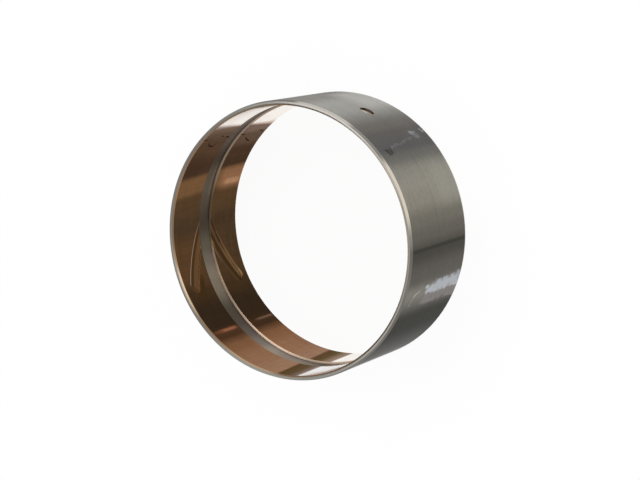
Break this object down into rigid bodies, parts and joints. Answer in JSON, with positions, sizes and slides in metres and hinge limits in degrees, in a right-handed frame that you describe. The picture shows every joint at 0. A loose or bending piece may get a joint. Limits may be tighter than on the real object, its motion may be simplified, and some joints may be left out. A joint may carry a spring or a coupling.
{
  "type": "bushing",
  "caption": "Wrapped plain bush: a steel back lined with bronze, with a clinched joint, an oil groove around the bore, branch oil grooves and an oil hole.",
  "frame": {"origin": "centre of the bore, in the plane of the end face that the bush stands on", "axes": "+Z along the bore, up from the face it stands on; the oil hole lies 61 degrees and the joint 130.5 degrees from +X towards +Y"},
  "size_m": [0.14, 0.14, 0.06],
  "materials": {
    "steel": "turned, satin",
    "bronze": "rolled, satin to bright"
  },
  "bodies": {
    "root": {"steel_back": "steel", "front_lining": "bronze", "rear_lining": "bronze"}
  },
  "joints": []
}
